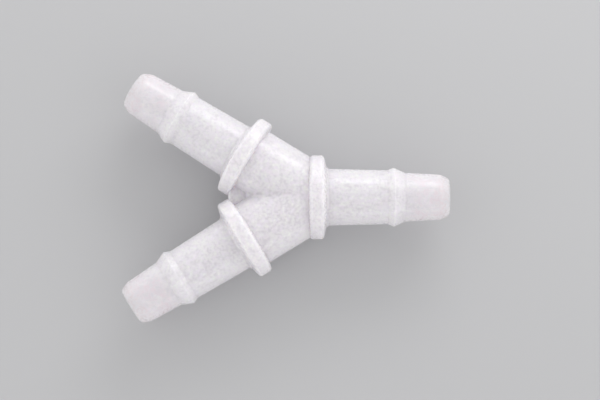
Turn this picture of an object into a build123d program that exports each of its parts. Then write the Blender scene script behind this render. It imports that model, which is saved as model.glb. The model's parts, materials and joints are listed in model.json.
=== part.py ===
"""Barbed Y connector for flexible tubing, moulded in one piece.

The axes of its three arms lie in the XY plane and meet at the origin. The stem runs out along +X, and the
two branches run back on either side of -X. Each arm ends in the same collar and barbed spigot.
"""

import os
from math import cos, isclose, radians, sin, tan

from build123d import *

# Tubing that the spigots take
TUBE_BORE = 9.5

# Layout of the arms, with each collar's place measured from the origin to its middle
BRANCH_SPREAD = 63.0
STEM_COLLAR_AT = 1.2
BRANCH_COLLAR_AT = 14.6

# Spigot diameters: each draft is the change over its own length
PILOT_SLACK = 0.35
PILOT_DRAFT = 0.65
SHANK_STRETCH = 0.6
SHANK_DRAFT = 0.6

# Spigot walls and steps, on the radius
PILOT_WALL = 1.15
TIP_LAND = 0.35
BARB_HEIGHT = 0.5

# Spigot lengths: the shank from the collar's middle, then each stretch from the one before
SHANK_LENGTH = 13.3
BARB_BACK_LENGTH = 1.2
RAMP_LENGTH = 2.15
PILOT_LENGTH = 6.55
TIP_TAPER_LENGTH = 1.7

# Collars and bodies, with their steps on the radius
BODY_STEP = 1.1
COLLAR_HEIGHT = 1.45
COLLAR_CREST = 2.4
COLLAR_DRAFT = 0.65

# Web that closes the crotch between the branches
WEB_THICKNESS = 5.0
WEB_DRAFT_ANGLE = 3.0

# Fillets, rounds and bevels
CREASE_FILLET = 1.0
WEB_ROUND = 0.5
NOSE_ROUND = 1.5
COLLAR_BEVEL = 0.3
COLLAR_ROOT_BEVEL = 0.4
TIP_BEVEL = 0.25
MOUTH_CHAMFER = 0.12

# Radii, worked outwards from the tubing's bore
pilot_base_r = (TUBE_BORE - PILOT_SLACK) / 2
pilot_tip_r = pilot_base_r - PILOT_DRAFT / 2
passage_r = pilot_tip_r - PILOT_WALL
tip_r = passage_r + TIP_LAND
shank_tip_r = (TUBE_BORE + SHANK_STRETCH) / 2
shank_root_r = shank_tip_r + SHANK_DRAFT / 2
barb_r = shank_tip_r + BARB_HEIGHT
body_r = shank_root_r + BODY_STEP
collar_r = body_r + COLLAR_HEIGHT

# Places along a spigot, from its collar's middle
barb_at = SHANK_LENGTH + BARB_BACK_LENGTH
ramp_foot_at = barb_at + RAMP_LENGTH
tip_taper_at = ramp_foot_at + PILOT_LENGTH
spigot_length = tip_taper_at + TIP_TAPER_LENGTH

# Arms, as a heading in the XY plane and the place of the collar
stem = (0.0, STEM_COLLAR_AT)
branches = [(180.0 - BRANCH_SPREAD / 2, BRANCH_COLLAR_AT), (180.0 + BRANCH_SPREAD / 2, BRANCH_COLLAR_AT)]
arms = [stem, *branches]


def along_arm(heading, distance=0.0):
    """The XY plane turned so that its x runs out along an arm, with its origin that far out."""
    direction = Vector(1, 0, 0).rotate(Axis.Z, heading)
    return Plane(origin=direction * distance, x_dir=direction, z_dir=(0, 0, 1))


def across_arm(heading, distance=0.0):
    """The plane square to an arm that far out, facing away from the origin."""
    arm = along_arm(heading, distance)
    return Plane(origin=arm.origin, x_dir=arm.z_dir, z_dir=arm.x_dir)


def spigot(heading, collar_at, mode=Mode.ADD):
    """A collar and the barbed spigot beyond it, turned about the arm's axis."""
    arm = along_arm(heading, collar_at)
    crest = COLLAR_CREST / 2
    root = crest + COLLAR_DRAFT
    with BuildSketch(arm) as half_section:
        with BuildLine():
            Polyline(
                (-root, 0),
                (-root, shank_root_r),
                (-crest, collar_r),
                (crest, collar_r),
                (root, shank_root_r),
                (SHANK_LENGTH, shank_tip_r),
                (barb_at, barb_r),
                (ramp_foot_at, pilot_base_r),
                (tip_taper_at, pilot_tip_r),
                (spigot_length, tip_r),
                (spigot_length, 0),
                close=True,
            )
        make_face()
        corners = half_section.vertices()
        chamfer(corners.group_by(Axis.Y)[-1], COLLAR_BEVEL)
        chamfer(corners.filter_by(lambda corner: isclose(corner.X, root)), COLLAR_ROOT_BEVEL)
        chamfer(corners.group_by(Axis.X)[-1].sort_by(Axis.Y)[-1], TIP_BEVEL)
        fillet(half_section.vertices().filter_by(lambda corner: isclose(corner.X, tip_taper_at)), NOSE_ROUND)
    revolve(half_section.sketch, axis=Axis(arm.origin, arm.x_dir), mode=mode)


def passage(heading, collar_at):
    """The way through an arm, bored from its tip to the origin, with a chamfered mouth."""
    with Locations(across_arm(heading, collar_at + spigot_length)):
        CounterSinkHole(
            radius=passage_r,
            counter_sink_radius=passage_r + MOUTH_CHAMFER,
            depth=collar_at + spigot_length,
            counter_sink_angle=90,
        )


with BuildPart() as crotch_web:
    # a wedge from the origin back to where the branch collars come closest
    half_spread = radians(BRANCH_SPREAD / 2)
    web_back = (BRANCH_COLLAR_AT - COLLAR_CREST / 2) * cos(half_spread) + collar_r * sin(half_spread)
    web_half_width = web_back * tan(half_spread)
    with BuildSketch():
        with BuildLine():
            Polyline((0, 0), (-web_back, web_half_width), (-web_back, -web_half_width), close=True)
        make_face()
    extrude(amount=WEB_THICKNESS / 2, both=True, taper=WEB_DRAFT_ANGLE)
    rims = crotch_web.edges().filter_by(Axis.Y).group_by(Axis.Z)
    fillet(rims[0] + rims[-1], WEB_ROUND)

with BuildPart() as connector_body:
    # bodies, as far as the middle of the stem's collar
    for heading, collar_at in arms:
        with BuildSketch(across_arm(heading)):
            Circle(body_r)
        extrude(amount=collar_at)
    split(bisect_by=Plane.YZ.offset(STEM_COLLAR_AT), keep=Keep.BOTTOM)

    # cut back to where the stem's collar starts, so that the crease between the branches ends on one face
    spigot(*stem, mode=Mode.SUBTRACT)
    crease = connector_body.edges().filter_by(GeomType.ELLIPSE)
    fillet(crease, CREASE_FILLET)

    for arm in arms:
        spigot(*arm)
    add(crotch_web.part)
    for arm in arms:
        passage(*arm)

connector_body.part.label = "connector_body"

os.makedirs("parts", exist_ok=True)
export_step(connector_body.part, "parts/connector_body.step")
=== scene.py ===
import functools
import json
import math
import random

import bmesh
import bpy
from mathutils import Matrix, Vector


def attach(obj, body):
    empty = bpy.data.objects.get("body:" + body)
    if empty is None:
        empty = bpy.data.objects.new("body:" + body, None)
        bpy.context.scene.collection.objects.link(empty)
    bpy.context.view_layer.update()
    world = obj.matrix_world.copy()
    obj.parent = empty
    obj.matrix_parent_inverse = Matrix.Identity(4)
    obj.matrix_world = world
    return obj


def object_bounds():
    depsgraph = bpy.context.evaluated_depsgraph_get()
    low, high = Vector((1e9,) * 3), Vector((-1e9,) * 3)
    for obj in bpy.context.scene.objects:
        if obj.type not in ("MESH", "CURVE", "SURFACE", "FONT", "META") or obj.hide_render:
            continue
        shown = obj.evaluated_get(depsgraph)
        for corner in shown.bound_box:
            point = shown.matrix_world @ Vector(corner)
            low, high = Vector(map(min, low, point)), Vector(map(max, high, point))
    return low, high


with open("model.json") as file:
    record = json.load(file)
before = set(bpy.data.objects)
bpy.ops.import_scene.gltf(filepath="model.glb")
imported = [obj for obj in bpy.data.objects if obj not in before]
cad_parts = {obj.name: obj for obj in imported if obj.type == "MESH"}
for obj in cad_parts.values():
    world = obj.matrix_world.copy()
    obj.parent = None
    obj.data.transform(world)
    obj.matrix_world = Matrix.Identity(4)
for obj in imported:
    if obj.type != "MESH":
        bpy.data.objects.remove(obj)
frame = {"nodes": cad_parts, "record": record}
cad_low, cad_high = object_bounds()

# --- Connector body -------------------------------------------------------------------------------------
# The whole Y is one injection moulding in natural polypropylene: a milky, waxy plastic with no pigment,
# satin to the touch, clouded all through by the crystals that it froze into. The mould opens along the
# plane of the three arms, and a core pin is drawn out of each arm.

MM = 0.001

body = frame["nodes"]["connector_body"]

# the passages run from the crossing of the arms, which is the origin, out to each tip
PASSAGES = [mount for mount in frame["record"]["mounts"] if mount["kind"] == "bore"]
ARMS = [Vector(passage["axis"]) for passage in PASSAGES]
TIPS = [max(arm.dot(vert.co) for vert in body.data.vertices) for arm in ARMS]

# distances from a tip, between which the painted shade of its nose and the painted light through its whole
# thin wall fade out
NOSE_SHADE_FADES_FROM = 0.68 * MM
NOSE_SHADE_FADED_BY = 3.4 * MM
THIN_LIGHT_FADES_FROM = 5.7 * MM
THIN_LIGHT_FADED_BY = 9.5 * MM

# marks in the plastic: how many to the metre, how crinkled, and where in the noise they start and are full
SWIRLS = {"scale": 260, "distortion": 1.0, "low": 0.35, "high": 0.65}
CLOUDS = {"scale": 1000, "low": 0.35, "high": 0.65}
CRYSTALS = {"scale": 1900, "low": 0.37, "high": 0.63}
HUES = {"scale": 700, "detail": 4, "distortion": 2.0, "low": 0.38, "high": 0.62}
# patches in which the painted pink light through the thin wall is stronger
PAINTED_LIGHT_PATCHES = {"scale": 320, "distortion": 1.0, "low": 0.4, "high": 0.62}

SWIRL_SHARE = 0.15
CLOUD_SHARE = 0.25
CRYSTAL_SHARE = 0.6
THIN_PAINTED_LIGHT = 0.3                              # painted light through the thin wall, between its patches
PATCH_PAINTED_LIGHT = 0.7                             # more painted light, added where a patch is full
# the share of painted shade at the nose, where the thin wall sends back less light
NOSE_PAINTED_SHADE = 0.85

PEARL_COLOUR = (0.85, 0.85, 0.835)
LILAC_COLOUR = (0.845, 0.80, 0.86)
# a pink painted for light coming through the thin wall
THIN_PAINTED_LIGHT_COLOUR = (0.79, 0.70, 0.745)
# painted shade at the nose, darker and pinker
NOSE_PAINTED_SHADE_COLOUR = (0.72, 0.645, 0.665)
CLOUDED_COLOUR = (0.685, 0.66, 0.695)

MILKY_DEPTH = 3.0 * MM                       # how far light wanders under the surface
MILKY_SPREAD = (1.0, 0.95, 0.9)              # the share of that depth that each colour reaches
PLASTIC_IOR = 1.49
SATIN_ROUGHNESS = 0.25
CLOUDED_ROUGHENING = 0.06                    # added where the plastic is clouded

# the skin's relief: marks to the metre, with heights in millimetres
RIPPLE = {"scale": 420, "detail": 1}
GRAIN = {"scale": 5200}
RIPPLE_HEIGHT = 0.05
GRAIN_HEIGHT = 0.0015
RELIEF_STRENGTH = 0.7


class Wire:
    """A shader socket that can be added to, scaled and compared in a Python expression."""

    def __init__(self, shader, socket):
        self.shader = shader
        self.socket = socket

    def out(self, name):
        """Another output of the same node."""
        return Wire(self.shader, self.socket.node.outputs[name])

    def maths(self, operation, *others):
        sockets = dict(enumerate((self, *others)))
        return self.shader.node("ShaderNodeMath", {"operation": operation}, sockets)

    def __add__(self, other):
        return self.maths("ADD", other)

    def __sub__(self, other):
        return self.maths("SUBTRACT", other)

    def __mul__(self, other):
        return self.maths("MULTIPLY", other)

    def __rsub__(self, other):
        return self * -1 + other

    __radd__ = __add__
    __rmul__ = __mul__

    def smaller(self, other):
        return self.maths("MINIMUM", other)

    def over(self, low, high):
        """0 at low and 1 at high, with soft ends."""
        settings = {"interpolation_type": "SMOOTHSTEP"}
        return self.shader.node("ShaderNodeMapRange", settings, {0: self, 1: low, 2: high})


class Shader:
    """The node tree of a material or a world, emptied and ready for new nodes."""

    def __init__(self, owner):
        owner.use_nodes = True
        self.owner = owner
        self.tree = owner.node_tree
        self.tree.nodes.clear()

    def node(self, kind, settings=None, sockets=None):
        """A new node, as the wire of its first output where it has one."""
        made = self.tree.nodes.new(kind)
        for name, value in (settings or {}).items():
            setattr(made, name, value)
        for name, value in (sockets or {}).items():
            socket = made.inputs[name]
            if isinstance(value, Wire):
                self.tree.links.new(value.socket, socket)
            else:
                socket.default_value = (*value, 1) if socket.type == "RGBA" else value
        return Wire(self, made.outputs[0]) if made.outputs else None

    def noise(self, place, scale, detail=2, distortion=0.0):
        sockets = {"Vector": place, "Scale": scale, "Detail": detail, "Distortion": distortion}
        return self.node("ShaderNodeTexNoise", sockets=sockets)

    def marks(self, place, low, high, **noise):
        """A noise's marks: 0 where it is under low, and 1 where it is over high."""
        return self.noise(place, **noise).over(low, high)

    def mix(self, share, first, second):
        """The first colour where the share is 0, and the second where it is 1."""
        mixed = self.node("ShaderNodeMix", {"data_type": "RGBA"}, {"Factor": share, 6: first, 7: second})
        return mixed.out(2)


def natural_polypropylene(name, milky_depth):
    shader = Shader(bpy.data.materials.new(name))
    place = shader.node("ShaderNodeTexCoord").out("Object")
    x = shader.node("ShaderNodeSeparateXYZ", sockets={0: place})
    y = x.out("Y")

    # how far the nearest tip is, since the wall is thinner there: painted shade darkens the nose, and
    # painted pink light through the thin wall lies over it in patches
    to_tips = [tip - (x * arm.x + y * arm.y) for arm, tip in zip(ARMS, TIPS)]
    to_tip = functools.reduce(Wire.smaller, to_tips)
    painted_nose_shade = 1 - to_tip.over(NOSE_SHADE_FADES_FROM, NOSE_SHADE_FADED_BY)
    thin_painted_light = 1 - to_tip.over(THIN_LIGHT_FADES_FROM, THIN_LIGHT_FADED_BY)
    painted_light_patches = THIN_PAINTED_LIGHT + shader.marks(place, **PAINTED_LIGHT_PATCHES) * PATCH_PAINTED_LIGHT

    # the melt's slow swirls, and the finer clouding of the crystals that it froze into
    cloudy = shader.marks(place, **SWIRLS) * SWIRL_SHARE + shader.marks(place, **CLOUDS) * CLOUD_SHARE
    cloudy = cloudy + shader.marks(place, **CRYSTALS) * CRYSTAL_SHARE

    colour = shader.mix(shader.marks(place, **HUES), PEARL_COLOUR, LILAC_COLOUR)
    colour = shader.mix(thin_painted_light * painted_light_patches, colour, THIN_PAINTED_LIGHT_COLOUR)
    colour = shader.mix(painted_nose_shade * NOSE_PAINTED_SHADE, colour, NOSE_PAINTED_SHADE_COLOUR)
    colour = shader.mix(cloudy, colour, CLOUDED_COLOUR)

    height = shader.noise(place, **RIPPLE) * RIPPLE_HEIGHT + shader.noise(place, **GRAIN) * GRAIN_HEIGHT
    relief = {"Height": height, "Strength": RELIEF_STRENGTH, "Distance": MM}

    plastic = shader.node(
        "ShaderNodeBsdfPrincipled",
        {"subsurface_method": "RANDOM_WALK"},
        {
            "Base Color": colour,
            "Roughness": SATIN_ROUGHNESS + cloudy * CLOUDED_ROUGHENING,
            "Normal": shader.node("ShaderNodeBump", sockets=relief),
            "IOR": PLASTIC_IOR,
            "Subsurface Weight": 1.0,
            "Subsurface Radius": MILKY_SPREAD,
            "Subsurface Scale": milky_depth,
        },
    )
    shader.node("ShaderNodeOutputMaterial", sockets={"Surface": plastic})
    return shader.owner


body.data.materials.clear()
body.data.materials.append(natural_polypropylene("natural_polypropylene", MILKY_DEPTH))

# --- Witness line ---------------------------------------------------------------------------------------
# Where the mould's halves met, a hair of plastic stands all along the outside of the fitting, in the plane
# of the three arms. It runs from each tip to the next, over the barbs and collars, and is one with the body.

WITNESS_RADIUS = 0.06 * MM
MOUTH_EDGE = 0.2 * MM                        # past a passage's wall, and past the chamfer at its mouth
SAME_POINT = 0.005 * MM
IN_PLANE = 0.0001 * MM


def in_passage(place):
    """Whether a place is in the passage of an arm, or on the chamfer at its mouth."""
    return any(
        arm.dot(place) > 0 and arm.cross(place).length < passage["dims"]["r_mm"] * MM + MOUTH_EDGE
        for arm, passage in zip(ARMS, PASSAGES)
    )


def outside_runs(part):
    """The outline that the plane of the arms cuts round the outside of a part, as runs from tip to tip."""
    cut = bmesh.new()
    cut.from_mesh(part.data)
    bmesh.ops.bisect_plane(
        cut,
        geom=[*cut.verts, *cut.edges, *cut.faces],
        dist=IN_PLANE,
        plane_co=(0, 0, 0),
        plane_no=(0, 0, 1),
        clear_inner=True,
        clear_outer=True,
    )
    bmesh.ops.remove_doubles(cut, verts=cut.verts[:], dist=SAME_POINT)
    inside = [vert for vert in cut.verts if in_passage(vert.co)]
    bmesh.ops.delete(cut, geom=inside, context="VERTS")

    runs = []
    ends = [vert for vert in cut.verts if len(vert.link_edges) == 1]
    while ends:
        here = ends.pop()
        run = [here.co.copy()]
        came = None
        while onward := [edge for edge in here.link_edges if edge is not came]:
            came = onward[0]
            here = came.other_vert(here)
            run.append(here.co.copy())
        ends.remove(here)
        runs.append(run)
    cut.free()
    return runs


line = bpy.data.curves.new("witness_line", "CURVE")
line.dimensions = "3D"
line.bevel_depth = WITNESS_RADIUS
line.bevel_resolution = 1
line.use_fill_caps = True
for run in outside_runs(body):
    spline = line.splines.new("POLY")
    spline.points.add(len(run) - 1)
    for point, place in zip(spline.points, run):
        point.co = (*place, 1)
line.materials.append(natural_polypropylene("witness_line_polypropylene", WITNESS_RADIUS))

witness_line = bpy.data.objects.new("witness_line", line)
bpy.context.scene.collection.objects.link(witness_line)
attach(witness_line, "root")

# --- Gate stub ------------------------------------------------------------------------------------------
# What is left of the sprue under the middle of the junction: a low, round stub of the same plastic, a little
# torn where it was broken off the runner.

GATE_X = -4.5 * MM
GATE_RADIUS = 0.75 * MM
GATE_TIP_RADIUS = 0.6 * MM
GATE_HEIGHT = 0.35 * MM                      # how far it stands out of the body
GATE_ROOT = 0.6 * MM                         # how far it goes in
GATE_TEAR = 0.1 * MM
GATE_TEAR_SEED = 7
GATE_SIDES = 28
GATE_RINGS = (1.0, 0.75, 0.5, 0.25)          # of its broken face, as shares of its radius


def gate_stub_mesh(surface):
    tear = random.Random(GATE_TEAR_SEED)
    mesh = bmesh.new()

    def ring(radius, depth, rough=0.0):
        turns = [2 * math.pi * side / GATE_SIDES for side in range(GATE_SIDES)]
        return [
            mesh.verts.new((
                surface.x + radius * math.cos(turn),
                surface.y + radius * math.sin(turn),
                surface.z - depth - rough * tear.random(),
            ))
            for turn in turns
        ]

    rings = [ring(GATE_RADIUS, -GATE_ROOT), ring(GATE_RADIUS, 0)]
    rings += [ring(GATE_TIP_RADIUS * share, GATE_HEIGHT - GATE_TEAR, GATE_TEAR) for share in GATE_RINGS]
    for upper, lower in zip(rings, rings[1:]):
        for side in range(GATE_SIDES):
            after = (side + 1) % GATE_SIDES
            mesh.faces.new((upper[side], upper[after], lower[after], lower[side]))
    mesh.faces.new(rings[0])
    mesh.faces.new(rings[-1])
    bmesh.ops.recalc_face_normals(mesh, faces=mesh.faces[:])
    for face in mesh.faces:
        face.smooth = True

    made = bpy.data.meshes.new("gate_stub")
    mesh.to_mesh(made)
    mesh.free()
    return made


# the place where a ray from below meets the body
underside = body.ray_cast(Vector((GATE_X, 0, -1)), Vector((0, 0, 1)))[1]
gate_stub = bpy.data.objects.new("gate_stub", gate_stub_mesh(underside))
gate_stub.data.materials.append(natural_polypropylene("gate_stub_polypropylene", GATE_TIP_RADIUS))
bpy.context.scene.collection.objects.link(gate_stub)
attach(gate_stub, "root")

# --- Floor ----------------------------------------------------------------------------------------------
# A plain, pale, matt board, wide enough to fill the view. The connector lies on it on its three collars.

FLOOR_WIDTH = 3.0
FLOOR_COLOUR = (0.53, 0.53, 0.54)
FLOOR_ROUGHNESS = 0.85


def pale_board():
    shader = Shader(bpy.data.materials.new("pale_board"))
    finish = {"Base Color": FLOOR_COLOUR, "Roughness": FLOOR_ROUGHNESS}
    board = shader.node("ShaderNodeBsdfPrincipled", sockets=finish)
    shader.node("ShaderNodeOutputMaterial", sockets={"Surface": board})
    return shader.owner


bpy.ops.mesh.primitive_plane_add(size=FLOOR_WIDTH, location=(0, 0, cad_low.z))
floor = bpy.context.object
floor.name = "floor"
floor.data.materials.append(pale_board())

# --- Light ----------------------------------------------------------------------------------------------
# A white tent, brighter round its skirt than overhead, and one long soft box beyond the connector, turned
# towards it, for the highlights along the arms.

TENT_TOP = 0.68
TENT_SKIRT = 1.5
TENT_SEEN = 0.8                              # where the camera sees past the floor
TENT_COLOUR = (1, 1, 1)

KEY_PLACE = (0.08, 0.22, 0.12)
KEY_WIDTH = 0.24
KEY_HEIGHT = 0.08
KEY_WATTS = 0.2


def tent():
    shader = Shader(bpy.data.worlds.new("tent"))
    direction = shader.node("ShaderNodeTexCoord").out("Generated")
    up = shader.node("ShaderNodeSeparateXYZ", sockets={0: direction}).out("Z")
    lit = TENT_TOP + (1 - up.over(0, 1)) * (TENT_SKIRT - TENT_TOP)
    seen = shader.node("ShaderNodeLightPath").out("Is Camera Ray")
    strength = lit * (1 - seen) + seen * TENT_SEEN
    glow = shader.node("ShaderNodeBackground", sockets={"Color": TENT_COLOUR, "Strength": strength})
    shader.node("ShaderNodeOutputWorld", sockets={"Surface": glow})
    return shader.owner


def key_box():
    lamp = bpy.data.lights.new("key_box", "AREA")
    lamp.shape = "RECTANGLE"
    lamp.size = KEY_WIDTH
    lamp.size_y = KEY_HEIGHT
    lamp.energy = KEY_WATTS
    box = bpy.data.objects.new("key_box", lamp)
    box.location = KEY_PLACE
    box.rotation_euler = (-Vector(KEY_PLACE)).to_track_quat("-Z", "Y").to_euler()
    return box


bpy.context.scene.world = tent()
bpy.context.scene.collection.objects.link(key_box())

# --- Camera ---------------------------------------------------------------------------------------------
# Looks almost straight down on the plane of the arms, leaning a few degrees towards the right branch.

CAMERA_LEAN = math.radians(84)
CAMERA_DISTANCE = 320 * MM
CAMERA_AIM = Vector((-2.0 * MM, -0.53 * MM, 0))
VIEW_WIDTH = 113.3 * MM
NEAREST_SEEN = 10 * MM
FARTHEST_SEEN = 10.0

back = Vector((0, -math.cos(CAMERA_LEAN), math.sin(CAMERA_LEAN)))
camera = bpy.data.objects.new("camera", bpy.data.cameras.new("camera"))
camera.data.lens = camera.data.sensor_width * CAMERA_DISTANCE / VIEW_WIDTH
camera.data.clip_start = NEAREST_SEEN
camera.data.clip_end = FARTHEST_SEEN
camera.location = CAMERA_AIM + back * CAMERA_DISTANCE
camera.rotation_euler = (-back).to_track_quat("-Z", "Y").to_euler()
bpy.context.scene.collection.objects.link(camera)
bpy.context.scene.camera = camera

bpy.context.scene.view_settings.view_transform = "Standard"
